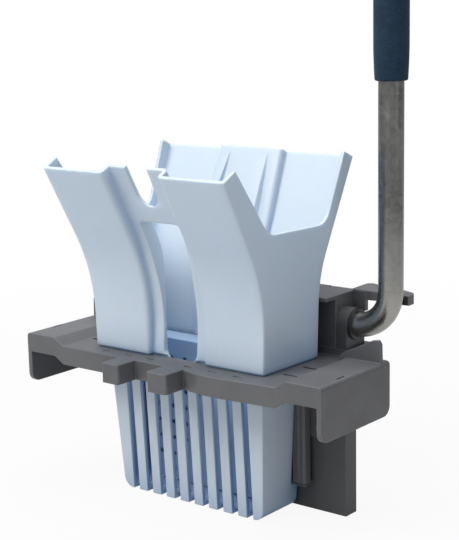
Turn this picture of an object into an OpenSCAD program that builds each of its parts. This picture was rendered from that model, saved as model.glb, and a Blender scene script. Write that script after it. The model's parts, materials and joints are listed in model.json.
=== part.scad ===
// Lever press wringer for flat mops, hung in the mouth of a bucket.
// Drawn from the front edge of the funnel base and the top of the deck,
// then set down with its feet at zero and the funnel base over the origin.

/* [Deck] */
// Height of the deck top above the feet of the basket and back plate
deck_height = 124; // [112:1:140]
// Overall width over the two hook skirts
frame_width = 304; // [300:1:330]
// Thickness of the deck and the wings
deck_wall = 4; // [3:0.5:5]
// Height of the fascia round the deck
fascia_height = 16; // [13:0.5:20]
// Reach of the fascia in front of the funnel base
fascia_reach = 17; // [15:0.5:22]
// Rise from the deck to the wings and to the rear border
wing_rise = 6; // [4:0.5:8]
// Height of the hook skirts below the wings
skirt_drop = 43; // [32:1:55]
// Depth of the wings and skirts, front to back
wing_depth = 93; // [85:1:96]
// Width of each front lug
lug_width = 17.5; // [14:0.5:20]
// Reach of the front lugs
lug_reach = 21; // [14:0.5:26]
// Height of the stop ribs above the wings
stop_rib_height = 18; // [10:0.5:19]

/* [Funnel] */
// Width of the funnel base
funnel_width = 174; // [170:1:176]
// Depth of the funnel base
funnel_depth = 70; // [69:0.5:70.5]
// Wall of the funnel
funnel_wall = 3; // [2.5:0.25:4]
// Lean of the front wall at the top, in degrees
front_lean = 28.5; // [22:0.5:32]
// Lean of the back wall at the top, in degrees
back_lean = 24.3; // [18:0.5:28]
// Height of the front top edge above the deck
front_top = 154; // [140:1:165]
// Height of the back top edge above the deck
back_top = 157; // [142:1:168]
// Outward lean of the end walls, in degrees
end_lean = 2.1; // [0:0.1:3]
// Outward turn of the end walls towards the back, in degrees
end_toe = 1.7; // [0:0.1:2]
// Width of the front flange of the end walls
front_flange = 21; // [14:0.5:24]
// Width of the back flange of the end walls
back_flange = 4.5; // [3.5:0.5:8]
// Half width of the inset middle of the front and back walls
inset_half = 29; // [27:0.5:34]
// Depth of the inset middle at the base of the funnel
inset_base = 3.5; // [3:0.25:5]
// Height by which the inset middle starts to lean later
inset_rise = 22; // [12:1:26]
// Height of the bottom of the end wall notches
notch_height = 108.5; // [95:0.5:120]
// Half width of the open slot in the front
slot_half = 16; // [13:0.5:19]

/* [Basket] */
// Half width of the basket at the deck
basket_half_top = 80; // [77:0.5:81]
// Half width of the basket at its floor
basket_half_low = 73.6; // [70:0.2:76]
// Wall of the basket
basket_wall = 3; // [2.5:0.25:3.5]
// Number of drain slots
slot_count = 9; // [5:2:9]
// Pitch of the drain slots
slot_pitch = 15.1; // [12:0.1:15.4]
// Width of a drain slot
slot_width = 6.2; // [4:0.2:8]

/* [Lever] */
// Outer diameter of the lever tube
tube_d = 20; // [19:0.25:20.5]
// Wall of the lever tube
tube_wall = 2; // [1.5:0.25:3]
// Height of the lever axis above the deck
axis_z = 25; // [24:0.25:26]
// Distance of the lever axis behind the funnel base front
axis_y = 98; // [97.8:0.1:98.5]
// Bend radius of the lever, at its middle line
bend_r = 30; // [26:1:30]
// Top of the lever above the deck
lever_top = 344; // [300:1:400]
// Length of the grip
grip_length = 125; // [100:1:140]
// Outer diameter of the grip
grip_d = 27.5; // [25:0.5:34]
// Swing of the lever from upright, in degrees
lever_swing = 70; // [50:1:70]

/* [Drive] */
// Tooth module of the pinions and racks
tooth_module = 1.5; // [1.5:0.05:1.5]
// Teeth of each pinion
pinion_teeth = 18; // [18:1:18]
// Width of the pinion and rack teeth
tooth_width = 8; // [6:0.5:9]
// Diameter of the drive pins
drive_pin_d = 5; // [4:0.25:5]
// Wire diameter of the return springs
spring_wire = 2; // [1.6:0.1:2.2]
// Curls of each return spring
spring_curls = 6; // [4:1:6]
// Running clearance round shafts and pins
running_gap = 0.05; // [0.03:0.01:0.09]
// Play between moving pieces and their guides
play = 0.5; // [0.4:0.05:0.6]

/* [Hidden] */
$fn = 48;
e = 0.01;

// Front and back profiles of the funnel, as arcs that end in a straight lean
front_start = 28;
front_arc = 142;
back_start = 46;
back_arc = 95;
function lean_y(z, start, radius, lean) =
    let (rise = radius * sin(lean), end = start + rise)
    z <= start ? 0 :
    z < end ? radius - sqrt(radius * radius - (z - start) * (z - start)) :
    radius * (1 - cos(lean)) + (z - end) * tan(lean);
function front_y(z) = -lean_y(z, front_start, front_arc, front_lean);
function back_y(z) = funnel_depth + lean_y(z, back_start, back_arc, back_lean);
front_reach = -front_y(front_top);
back_reach = back_y(back_top);

// Axis, pinions and racks
tube_r = tube_d / 2;
pitch_r = tooth_module * pinion_teeth / 2;
pitch_y = axis_y - pitch_r;
pitch = PI * tooth_module;
travel = pitch_r * lever_swing * PI / 180;
flank = 20;
thinning = 0.36;
rack_low = 13;
rack_high = 44.5;
hub_long = 8;

// Housing, bearing blocks and lever rest
roof_wall = 3;
housing_top = 49;
housing_wall = 2;
housing_half = 96;
middle_half = housing_half - 25;
rack_x = middle_half - 9;
hub_mid = rack_x - tooth_width / 2 - hub_long / 2;
block_wide = 10;
bush_flange = 1.5;
block_end = housing_half + block_wide;
block_mid = housing_half + block_wide / 2;
end_play = 0.3;
washer_wall = 1.2;
bend_start = block_end + bush_flange + end_play + washer_wall;
lever_x = bend_start + bend_r;
housing_front = axis_y - 13;
housing_back = axis_y + 13;
housing_middle_front = funnel_depth + 1.5;
housing_middle_back = axis_y + 18;
bush_r = tube_r + 1;
rest_front = axis_y + tube_r + 3.5;
rest_back = axis_y + 42;
rest_end = lever_x + 8;
rest_low = housing_top - 7;
middle_y = funnel_depth / 2;

// Deck
half_width = frame_width / 2;
deck_half = block_end + 4;
slope_run = 10;
wing_round = 3;
border_front = housing_front;
border_back = housing_middle_back + 2;
wing_back = wing_depth - fascia_reach;
opening_half = 80;
opening_front = 6;
opening_back = 66;

// Press plate and drive slide
plate_wall = 3;
plate_front = 43;
plate_back = plate_front + plate_wall;
shelf_top = 4;
pin_r = drive_pin_d / 2;
pin_y = plate_back + 2.5 + pin_r;
ear_back = pin_y + travel + pin_r + 2.5;
ear_x = rack_x - 11.5;
ear_half = 2.5;
cheek_in = ear_x + ear_half + 0.5;
cheek_out = cheek_in + 3;
cheek_front = plate_back + 1;
web_front = 75;
web_back = 77;
tab_half = 5;
pin_levels = [-22, -58];
slot_r = pin_r + 0.35;
slide_low = -82;
slide_high = -14;
foot_z = -66;
spring_x = ear_x - 20.5;
spring_y = 62.5;
spring_r = 6.8;
seat_r = 4.5;

// Mechanism box, rails, back plate and basket
box_front = 63;
box_in = 85;
box_out = 88;
box_back = 77.5;
box_low = -103;
floor_wall = 3;
rail_front = 52;
rail_in = 76;
skin_front = 62.5;
skin_back = 65.5;
tray_back = 77.3;
plate_half = 120;
tray_top = -16.5;
basket_back_low = 60;
basket_back_high = rail_front - 0.2;
basket_front_top = 8;
basket_front_low = 14.8;
seat_gap = 0.2;

// Fasteners
screw_r = 2;
head_r = 3.6;
head_h = 2.4;
hole_gap = 0.1;
deck_screw = deck_wall + 2.5;
plate_screw = 6;
cover_screw = 7;
housing_screw = 2 * deck_wall;
block_screw = 2 * deck_wall + 2;
rest_screw = 7;
pin_length = 27;

module place() {
    translate([0, -middle_y, deck_height]) children();
}

module mirror_x() {
    children();
    mirror([1, 0, 0]) children();
}

// A box given by its lowest and highest corners
module block(low, high) {
    translate(low) cube([high[0] - low[0], high[1] - low[1], high[2] - low[2]]);
}

// Extrudes a side view, drawn in depth and height, across the width
module across(x0, x1) {
    translate([x0, 0, 0]) rotate([90, 0, 90]) linear_extrude(x1 - x0) children();
}

// Extrudes a front view, drawn in width and height, along the depth
module along(y0, y1) {
    translate([0, y1, 0]) rotate([90, 0, 0]) linear_extrude(y1 - y0) children();
}

// A pan head screw whose head seats at the origin and whose shank points up
module screw(length) {
    translate([0, 0, -head_h]) cylinder(h = head_h, r = head_r, $fn = 24);
    translate([0, 0, -e]) cylinder(h = length + e, r = screw_r, $fn = 24);
}

// The hole that such a screw sits in
module screw_hole(length) {
    translate([0, 0, -e]) cylinder(h = length + e, r = screw_r + hole_gap, $fn = 24);
}

// Outline of the deck front with its lugs, moved back by an inset
function deck_front(t) = [
    [-deck_half, -fascia_reach + t],
    [-46 + t, -fascia_reach + t],
    [-46 + t, -fascia_reach - lug_reach + t + 1.2],
    [-46 + t + 1.2, -fascia_reach - lug_reach + t],
    [-46 + lug_width - t - 1.2, -fascia_reach - lug_reach + t],
    [-46 + lug_width - t, -fascia_reach - lug_reach + t + 1.2],
    [-46 + lug_width - t, -fascia_reach + t],
    [2 + t, -fascia_reach + t],
    [2 + t, -fascia_reach - lug_reach + t + 1.2],
    [2 + t + 1.2, -fascia_reach - lug_reach + t],
    [2 + lug_width + 0.8 - t, -fascia_reach - lug_reach + t],
    [2 + lug_width + 2 - t, -fascia_reach - lug_reach + t + 1.2],
    [2 + lug_width + 2 - t, -fascia_reach + t],
    [39, -fascia_reach - 4.5 + t],
    [62, -fascia_reach - 4.5 + t],
    [deck_half, -fascia_reach + t]];

module deck_outline(t, back) {
    polygon(concat(deck_front(t), [[deck_half, back], [-deck_half, back]]));
}

// Cross-section of a wing band between a top line and a lower line
module wing_band(depth) {
    r = wing_round;
    polygon([[deck_half - e, 0], [deck_half, 0], [deck_half + slope_run, wing_rise],
        each [for (a = [90:-30:0]) [half_width - r + r * cos(a), wing_rise - r + r * sin(a)]],
        [half_width, wing_rise - depth],
        [deck_half + slope_run, wing_rise - depth], [deck_half, -depth],
        [deck_half - e, -depth]]);
}

module skirt_side() {
    corner = 8;
    low = wing_rise - skirt_drop;
    top = wing_rise - wing_round;
    polygon(concat(
        [[-fascia_reach, top], [wing_back, top]],
        [for (a = [0:15:90]) [wing_back - corner + corner * cos(a), low + corner - corner * sin(a)]],
        [for (a = [90:15:180])
            [-fascia_reach + corner + corner * cos(a), low + corner - corner * sin(a)]]));
}

module wing() {
    along(-fascia_reach, wing_back) wing_band(deck_wall);
    along(-fascia_reach, -fascia_reach + deck_wall) wing_band(fascia_height);
    along(wing_back - deck_wall, wing_back) wing_band(fascia_height);
    across(half_width - deck_wall, half_width) skirt_side();
    // Stop rib that rises towards the skirt
    along(64, 67) polygon([
        [deck_half + 2, 1], [deck_half + 5, wing_rise + 3],
        [half_width - 9, wing_rise + stop_rib_height - 1],
        [half_width - 3, wing_rise + stop_rib_height],
        [half_width - 1, wing_rise + stop_rib_height - 3], [half_width - 0.5, wing_rise - 1],
        [deck_half + slope_run, wing_rise - 1]]);
}

// Slots in the deck beside the funnel, as centre and size
front_slots = [[-69, -7], [-43, -8], [-21, -7], [19, -8], [45, -9], [69, -9]];
side_slots = [17, 42];

module frame() {
    color("dimgray") place() difference() {
        union() {
            // Deck and its fascia
            translate([0, 0, -deck_wall]) linear_extrude(deck_wall) deck_outline(0, border_front + 2);
            translate([0, 0, -fascia_height]) linear_extrude(fascia_height) difference() {
                deck_outline(0, 20);
                deck_outline(deck_wall, 21);
            }
            mirror_x() wing();
            mirror_x() block([deck_half - deck_wall, 0, -fascia_height], [deck_half, border_back, 0]);
            // Raised border behind the deck
            block([-deck_half, border_front, wing_rise - deck_wall], [deck_half, border_back, wing_rise]);
            block([-deck_half, border_front, -deck_wall], [deck_half, border_front + 2, wing_rise]);
            block([-deck_half, border_back - deck_wall, -fascia_height],
                [deck_half, border_back, wing_rise]);
            mirror_x() block([deck_half - deck_wall, border_front, -fascia_height],
                [deck_half, border_back, wing_rise]);
            // Ribs under the deck
            for (x = [-100, 97]) block([x, -fascia_reach + 1, -10], [x + 3, border_front, -deck_wall + e]);
        }
        // Way through for the mop
        block([-opening_half, opening_front, -deck_wall - 1], [opening_half, opening_back, 1]);
        // Lightening slots round the funnel
        for (p = front_slots) block([p[0] - 4, p[1] - 1.5, -deck_wall - 1], [p[0] + 4, p[1] + 1.5, 1]);
        mirror_x() for (y = side_slots) block([deck_half - 16, y - 2.2, -deck_wall - 1],
            [deck_half - 3, y + 2.2, 1]);
        mirror_x() block([half_width - 5.5, 10, wing_rise - 3], [half_width - 3.5, 21, wing_rise + 1]);
        // Ways for the racks and the ears of the drive slide
        mirror_x() block([rack_x - tab_half - 1, web_front - 1, -deck_wall - 1],
            [rack_x + tab_half + 1, pitch_y + tooth_module + play, wing_rise + 1]);
        for (p = basket_screw_places) translate([p[0], p[1], -deck_wall - basket_wall]) screw_hole(6.6);
        for (p = box_screw_places) translate([p[0], p[1], -deck_wall - floor_wall]) screw_hole(6.6);
        for (p = concat(block_screw_places, housing_screw_places))
            translate([p[0], p[1], wing_rise - deck_wall]) screw_hole(deck_wall + 1);
    }
}

basket_screw_places = [[-70, 3], [0, 3], [70, 3], [-86, 30], [86, 30]];
box_screw_places = [for (x = [spring_x + 6, rail_in], side = [-1, 1]) [side * x, web_front - 5.5]];
block_screw_places = [for (x = [-block_mid, block_mid], y = [axis_y - 7, axis_y + 7]) [x, y]];
housing_screw_places = [for (x = [13 - housing_half, housing_half - 13],
    y = [axis_y - 6, axis_y + 6]) [x, y]];

// Funnel

// Line of a wall in side view: upright, then an arc, then a straight lean,
// drawn for the side it leans to and moved inwards by a depth
function wall_line(t, start, radius, lean, reach, shift) = concat(
    [[shift + t, -1]],
    [for (i = [0:12]) let (a = lean * i / 12)
        [shift - radius + (radius + t) * cos(a), start + (radius + t) * sin(a)]],
    [[shift - radius + (radius + t) * cos(lean) - reach * sin(lean),
        start + (radius + t) * sin(lean) + reach * cos(lean)]]);
function flip(list) = [for (i = [len(list) - 1:-1:0]) list[i]];
function turned(list) = [for (p = list) [funnel_depth - p[0], p[1]]];

// Length of the straight part that brings a wall to its height
function reach_to(top, start, radius, lean) = (top - start - radius * sin(lean)) / cos(lean);
front_straight = reach_to(front_top, front_start, front_arc, front_lean);
back_straight = reach_to(back_top, back_start, back_arc, back_lean);
function front_line(t) = wall_line(t, front_start, front_arc, front_lean, front_straight, 0);
function back_line(t) = turned(wall_line(t, back_start, back_arc, back_lean, back_straight, 0));
function front_inset(t) = wall_line(t, front_start + inset_rise, front_arc, front_lean,
    front_straight - inset_rise * 0.85, inset_base);
function back_inset(t) = turned(wall_line(t, back_start + inset_rise * 0.8, back_arc, back_lean,
    back_straight - inset_rise * 0.6, inset_base));

// Everything between the two leaning end planes, set in by a depth
module between_ends(t) {
    intersection() {
        translate([funnel_width / 2 - t, 0, 0]) rotate([0, end_lean, 0]) rotate([0, 0, -end_toe])
            translate([-300, -200, -50]) cube([300, 450, 300]);
        translate([-funnel_width / 2 + t, 0, 0]) rotate([0, -end_lean, 0]) rotate([0, 0, end_toe])
            translate([0, -200, -50]) cube([300, 450, 300]);
    }
}

// Side view of the funnel with the notch of its end walls
module funnel_side() {
    f = [cos(front_lean), sin(front_lean)];
    b = [cos(back_lean), sin(back_lean)];
    peak_front = [-front_reach, front_top] + front_flange * f;
    peak_back = [back_reach, back_top] + back_flange * [-b[0], b[1]];
    low_front = [2, notch_height];
    low_back = [76, notch_height];
    polygon(concat(front_line(0), [peak_front],
        [for (t = [0:0.2:1]) corner_point(peak_front, low_front, low_back, 8, t)],
        [for (t = [0:0.2:1]) corner_point(low_front, low_back, peak_back, 10, t)],
        [peak_back], flip(back_line(0))));
}

// Point on a rounded corner from a to c round b
function corner_point(a, b, c, r, t) =
    let (p = b + r * (a - b) / norm(a - b), q = b + r * (c - b) / norm(c - b))
    (1 - t) * (1 - t) * p + 2 * t * (1 - t) * b + t * t * q;

// Front view of the open slot and of the notch above its bridge
slot_top = 115;
notch_low = 127;

module slot_front() {
    translate([-slot_half, -2]) square([2 * slot_half, slot_top - 4]);
    translate([-slot_half + 6, 0]) square([2 * slot_half - 12, slot_top]);
    for (x = [-slot_half + 6, slot_half - 6]) translate([x, slot_top - 6]) circle(6);
    mirror_x() polygon(concat([[slot_half - 1, -2], [slot_half - 1, 8]],
        [for (a = [180:15:270]) [slot_half + 8 + 8 * cos(a), 8 + 8 * sin(a)]], [[slot_half + 8, -2]]));
    translate([0, notch_low + 10.5]) circle(10.5);
    polygon([[-10.5, notch_low + 10.5], [-12.2, 200], [12.2, 200], [10.5, notch_low + 10.5]]);
}

// One leaning wall: two outer panels, a middle panel set inwards, and the
// cheeks that join them
module leaning_wall(outer, inner, inset_outer, inset_inner) {
    mirror_x() across(inset_half - e, funnel_width) polygon(concat(outer, flip(inner)));
    across(-inset_half, inset_half) polygon(concat(inset_outer, flip(inset_inner)));
    mirror_x() across(inset_half - funnel_wall, inset_half) polygon(concat(outer, flip(inset_inner)));
}

// Feet that reach into the mop way and hold the funnel in place
module funnel_feet(y0, y1, low0, low1) {
    for (x = [-60, 44]) {
        block([x, y0, 0], [x + 16, y1, 3]);
        block([x, low0, -deck_wall + 0.2], [x + 16, low1, 3]);
    }
}

module funnel_front() {
    color("lightsteelblue") place() {
        difference() {
            intersection() {
                leaning_wall(front_line(0), front_line(funnel_wall),
                    front_inset(0), front_inset(funnel_wall));
                between_ends(funnel_wall);
            }
            along(-200, funnel_depth / 2) slot_front();
            block([-200, -60, -20], [200, 130, 0]);
        }
        funnel_feet(funnel_wall - 1, opening_front + 2.5, opening_front + seat_gap, opening_front + 2.5);
    }
}

module funnel_back() {
    color("lightsteelblue") place() {
        difference() {
            intersection() {
                leaning_wall(back_line(0), back_line(funnel_wall), back_inset(0), back_inset(funnel_wall));
                between_ends(funnel_wall);
            }
            block([-200, -60, -20], [200, 130, 0]);
        }
        funnel_feet(opening_back - 2.5, funnel_depth - funnel_wall + 1,
            opening_back - 2.5, opening_back - seat_gap);
    }
}

module funnel_end() {
    place() difference() {
        intersection() {
            across(10, 200) funnel_side();
            between_ends(0);
        }
        between_ends(funnel_wall);
        block([-200, -60, -20], [200, 130, 0]);
    }
}

module funnel_end_left() {
    color("lightsteelblue") mirror([1, 0, 0]) funnel_end();
}

module funnel_end_right() {
    color("lightsteelblue") funnel_end();
}

// Basket

module basket_side() {
    polygon([[basket_front_top, 0], [basket_front_low, -deck_height],
        [basket_back_low, -deck_height], [basket_back_low, box_low - 0.5],
        [basket_back_high, box_low - 0.5], [basket_back_high, 0]]);
}

module basket_side_inner() {
    t = basket_wall;
    polygon([[basket_front_top + t, 1], [basket_front_low + t, -deck_height + t],
        [basket_back_low - t, -deck_height + t], [basket_back_low - t, box_low],
        [basket_back_low + 9, box_low], [basket_back_low + 9, 1]]);
}

module basket_across(t) {
    r = 9;
    low = -deck_height + r;
    polygon(concat([[-basket_half_top + t, 0.5 * t]],
        [for (a = [180:15:270]) [-basket_half_low + r + (r - t) * cos(a), low + (r - t) * sin(a)]],
        [for (a = [270:15:360]) [basket_half_low - r + (r - t) * cos(a), low + (r - t) * sin(a)]],
        [[basket_half_top - t, 0.5 * t]]));
}

module basket() {
    color("slategray") place() difference() {
        union() {
            intersection() {
                across(-100, 100) basket_side();
                along(-5, 80) basket_across(0);
                block([-100, -5, -deck_height - 1], [100, 80, -deck_wall]);
            }
            // Rim that is screwed up under the deck
            block([-basket_half_top - 1, basket_front_top - 9, -deck_wall - basket_wall],
                [basket_half_top + 1, basket_front_top + 2, -deck_wall]);
            mirror_x() block(
                [basket_half_top - basket_wall, basket_front_top - 9, -deck_wall - basket_wall],
                [basket_half_top + 11, basket_back_high - 8, -deck_wall]);
        }
        intersection() {
            across(-100, 100) basket_side_inner();
            along(-5, 80) basket_across(basket_wall);
        }
        // Drain slots in the front wall, the floor and the low back wall
        for (i = [0:slot_count - 1]) let (x = (i - (slot_count - 1) / 2) * slot_pitch) {
            block([x - slot_width / 2, basket_front_top - 2, -deck_height - 1],
                [x + slot_width / 2, basket_front_low + 5, -fascia_height - 6]);
            block([x - slot_width / 2, basket_front_low + 4, -deck_height - 1],
                [x + slot_width / 2, floor_strip - 4, -deck_height + basket_wall + 1]);
            block([x - slot_width / 2, floor_strip + 4, -deck_height - 1],
                [x + slot_width / 2, basket_back_low - 6, -deck_height + basket_wall + 1]);
            block([x - slot_width / 2, basket_back_low - 6, -deck_height + 6],
                [x + slot_width / 2, basket_back_low + 2, box_low - 4]);
        }
        for (p = basket_screw_places) translate([p[0], p[1], -deck_wall - basket_wall]) screw_hole(6.6);
    }
}

floor_strip = middle_y;

// Mechanism box, rails, back plate and cover

plate_screw_levels = [-54, -26];
cover_screw_levels = [-94, -16];

module back_screw_hole(x, y, z, length) {
    translate([x, y, z]) rotate([90, 0, 0]) translate([0, 0, -length])
        cylinder(h = 2 * length, r = screw_r + hole_gap, $fn = 24);
}

module mechanism_box() {
    color("dimgray") place() difference() {
        union() {
            mirror_x() block([box_in, box_front, box_low], [box_out, box_back, -deck_wall]);
            block([-box_out, rail_front, box_low], [box_out, box_back, box_low + floor_wall]);
            // Strip screwed up under the deck
            block([-box_in - e, box_front, -deck_wall - floor_wall],
                [box_in + e, web_front - 1.5, -deck_wall]);
            // Walls that steer the slide
            mirror_x() block([cheek_out + play, rail_front + 1, box_low + e],
                [cheek_out + play + 3, web_front - 1, -deck_wall - e]);
            // Seats of the springs
            mirror_x() translate([spring_x, spring_y, box_low + e])
                cylinder(h = floor_wall + 5, r = seat_r);
            // Ears screwed to the back plate
            mirror_x() block([box_out - e, skin_front - 3, -62], [box_out + 16, skin_front, -18]);
            mirror_x() block([box_out - e, skin_front - 3, -62], [box_out, box_front + 1, -18]);
            // Posts for the cover screws
            mirror_x() for (z = cover_screw_levels)
                block([box_in - 8, web_front - 6, z - 4.5], [box_in + e, box_back, z + 4.5]);
        }
        for (p = box_screw_places) translate([p[0], p[1], -deck_wall - floor_wall]) screw_hole(6.6);
        mirror_x() for (z = plate_screw_levels) back_screw_hole(box_out + 8, skin_front, z, 8);
        mirror_x() for (z = cover_screw_levels) back_screw_hole(box_in - 4, box_back, z, 6);
    }
}

module rail() {
    place() {
        block([rail_in, rail_front, box_low + floor_wall], [rail_in + 3, box_front, -deck_wall]);
        block([rail_in, rail_front, box_low + floor_wall], [box_out, rail_front + 3, -deck_wall]);
        block([box_out - 3, rail_front, box_low + floor_wall], [box_out, box_front - 3.6, -deck_wall]);
        // Ridges down the front
        for (x = [rail_in + 5.2, rail_in + 9.4]) block([x, rail_front - 1, box_low + floor_wall],
            [x + 1.6, rail_front + e, -deck_wall - 4]);
    }
}

module rail_left() {
    color("gray") mirror([1, 0, 0]) rail();
}

module rail_right() {
    color("gray") rail();
}

module back_plate() {
    color("dimgray") place() difference() {
        union() {
            difference() {
                block([-plate_half, skin_front, -deck_height], [plate_half, tray_back, tray_top]);
                mirror_x() block([box_out + 3, skin_back, box_low - 1],
                    [plate_half - 3, tray_back + 1, tray_top - 3]);
                block([-plate_half + 3, skin_back, -deck_height + 3],
                    [plate_half - 3, tray_back + 1, box_low - 3]);
            }
            // Ribs of the tray
            for (x = [-80, -40, -1.5, 37, 77]) block([x, skin_back - e, -deck_height + 2],
                [x + 3, tray_back, box_low - 2]);
            mirror_x() for (z = [-88, -66, -40])
                block([box_out + 2, skin_back - e, z], [plate_half - 2, tray_back - 3, z + 2]);
        }
        // Window that the mechanism box fits into
        block([-box_out, skin_front - 1, box_low], [box_out, tray_back + 1, tray_top + 1]);
        mirror_x() for (z = plate_screw_levels) back_screw_hole(box_out + 8, skin_front, z, 8);
    }
}

module rear_cover() {
    color("gray") place() difference() {
        block([-box_out, box_back, box_low + 1], [box_out, box_back + 2, -deck_wall - 4]);
        mirror_x() for (z = cover_screw_levels) back_screw_hole(box_in - 4, box_back, z, 6);
        // Drain louvres
        for (z = [-90, -84, -78]) block([-40, box_back - 1, z], [40, box_back + 3, z + 2]);
    }
}

module basket_screws() {
    color("silver") place() for (p = basket_screw_places)
        translate([p[0], p[1], -deck_wall - basket_wall]) screw(deck_screw);
}

module box_screws() {
    color("silver") place() for (p = box_screw_places)
        translate([p[0], p[1], -deck_wall - floor_wall]) screw(deck_screw);
}

module plate_screws() {
    color("silver") place() mirror_x() for (z = plate_screw_levels)
        translate([box_out + 8, skin_back, z]) rotate([90, 0, 0]) screw(plate_screw);
}

module cover_screws() {
    color("silver") place() mirror_x() for (z = cover_screw_levels)
        translate([box_in - 4, box_back + 2, z]) rotate([90, 0, 0]) screw(cover_screw);
}

// Housing and bearings

module housing_blocks(t) {
    block([-housing_half + t, housing_front + t, wing_rise - t],
        [housing_half - t, housing_back - t, housing_top - 1.5 * t]);
    block([-middle_half + t, border_front - t, wing_rise - t],
        [middle_half - t, housing_middle_back - t, housing_top - 1.5 * t]);
    mirror_x() block([rack_x - 9 + t, housing_middle_front + t, -t],
        [middle_half - t, border_front + t, housing_top - 1.5 * t]);
}

module housing() {
    color("dimgray") place() difference() {
        union() {
            difference() {
                housing_blocks(0);
                housing_blocks(housing_wall);
            }
            // Roof that reaches forward to the funnel
            block([-housing_half, housing_middle_front, housing_top - roof_wall],
                [housing_half, housing_front + 1, housing_top]);
            // Feet that are screwed down
            mirror_x() block([middle_half + 3, housing_front + 1, wing_rise],
                [housing_half - 1, housing_back - 1, wing_rise + 5]);
        }
        translate([-200, axis_y, axis_z]) rotate([0, 90, 0]) cylinder(h = 400, r = tube_r + 1.5);
        for (p = housing_screw_places) translate([p[0], p[1], wing_rise - 1]) screw_hole(5.5);
        for (x = rest_screw_places) back_screw_hole(x, housing_back, rest_screw_z, 6);
    }
}

rest_screw_places = [middle_half + 6, middle_half + 15];
rest_screw_z = housing_top - 7;

module bearing_block() {
    place() difference() {
        union() {
            block([housing_half, axis_y - 13, wing_rise], [housing_half + block_wide, axis_y + 13, axis_z]);
            translate([housing_half, axis_y, axis_z]) rotate([0, 90, 0])
                cylinder(h = block_wide, r = 13, $fn = 64);
        }
        translate([housing_half - 1, axis_y, axis_z]) rotate([0, 90, 0])
            cylinder(h = block_wide + 2, r = bush_r);
        for (y = [axis_y - 7, axis_y + 7]) translate([block_mid, y, wing_rise - 1]) screw_hole(7.5);
    }
}

module bearing_block_left() {
    color("gray") mirror([1, 0, 0]) bearing_block();
}

module bearing_block_right() {
    color("gray") bearing_block();
}

module bush() {
    place() translate([housing_half, axis_y, axis_z]) rotate([0, 90, 0]) difference() {
        union() {
            cylinder(h = block_wide, r = bush_r);
            translate([0, 0, block_wide]) cylinder(h = bush_flange, r = bush_r + 1.8);
        }
        translate([0, 0, -1]) cylinder(h = block_wide + 4, r = tube_r + running_gap);
    }
}

module bush_left() {
    color("black") mirror([1, 0, 0]) bush();
}

module bush_right() {
    color("black") bush();
}

module lever_rest() {
    color("dimgray") place() difference() {
        union() {
            block([middle_half + 1.5, housing_back, 33],
                [housing_half + 11, housing_back + 4, housing_top]);
            translate([0, 0, rest_low]) linear_extrude(housing_top + 0.5 - rest_low) polygon([
                [housing_half - 3, housing_back + 1], [housing_half + 16, housing_back + 1],
                [lever_x - 14, rest_front + 4], [lever_x - 12, rest_front],
                [rest_end, rest_front], [rest_end, rest_front + 8], [rest_end - 4, rest_front + 14],
                [lever_x - 12, rest_back - 8], [housing_half + 5, rest_back - 2], [housing_half, rest_back],
                [housing_half - 4, rest_back - 3]]);
        }
        for (x = rest_screw_places) back_screw_hole(x, housing_back, rest_screw_z, 6);
        // Pocket under the arm
        translate([0, 0, rest_low - 1]) linear_extrude(6) polygon([
            [housing_half + 1, housing_back + 6], [housing_half + 16, housing_back + 6],
            [lever_x - 15, rest_front + 8], [lever_x - 15, rest_back - 12],
            [housing_half + 1, rest_back - 7]]);
    }
}

module rest_buffer() {
    color("black") place() block([lever_x - 10.5, rest_front - 3, rest_low + 0.7],
        [rest_end - 1.5, rest_front, housing_top - 0.7]);
}

module housing_screws() {
    color("silver") place() for (p = housing_screw_places)
        translate([p[0], p[1], wing_rise - deck_wall]) screw(housing_screw);
}

module block_screws() {
    color("silver") place() for (p = block_screw_places)
        translate([p[0], p[1], wing_rise - deck_wall]) screw(block_screw);
}

module rest_screws() {
    color("silver") place() for (x = rest_screw_places)
        translate([x, housing_back + 4, rest_screw_z]) rotate([90, 0, 0]) screw(rest_screw);
}

// Lever

lever_start = -block_end - 6;
tube_end = lever_top - 4;

module lever_bar(r) {
    translate([lever_start, axis_y, axis_z]) rotate([0, 90, 0])
        cylinder(h = bend_start - lever_start, r = r, $fn = 64);
    translate([bend_start, axis_y, axis_z + bend_r]) rotate([90, 0, 0]) rotate([0, 0, -90])
        rotate_extrude(angle = 90, $fn = 96) translate([bend_r, 0]) circle(r, $fn = 64);
    translate([lever_x, axis_y, axis_z + bend_r]) cylinder(h = tube_end - axis_z - bend_r, r = r, $fn = 64);
}

module lever_tube() {
    color("silver") place() difference() {
        lever_bar(tube_r);
        lever_bar(tube_r - tube_wall);
        translate([lever_start - 1, axis_y, axis_z]) rotate([0, 90, 0])
            cylinder(h = 2, r = tube_r - tube_wall);
        translate([lever_x, axis_y, tube_end - 1]) cylinder(h = 2, r = tube_r - tube_wall);
        for (x = [-hub_mid, hub_mid]) translate([x, axis_y, axis_z - 20])
            cylinder(h = 40, r = screw_r, $fn = 24);
    }
}

module lever_grip() {
    r = grip_d / 2;
    low = lever_top - grip_length;
    color("midnightblue") place() translate([lever_x, axis_y, 0]) rotate_extrude($fn = 96) polygon(concat(
        [[tube_r, low], [r - 2, low], [r - 1.3, low + 0.5], [r - 0.85, low + 2.5]],
        [[r - 0.25, low + 14], [r, low + 28]],
        [for (a = [0:15:90]) [r - 5 + 5 * cos(a), lever_top - 5 + 5 * sin(a)]],
        [[0, lever_top], [0, tube_end], [tube_r, tube_end]]));
}

function involute(r) = let (base = pitch_r * cos(flank), a = acos(min(1, base / r))) tan(a) * 180 / PI - a;

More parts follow.
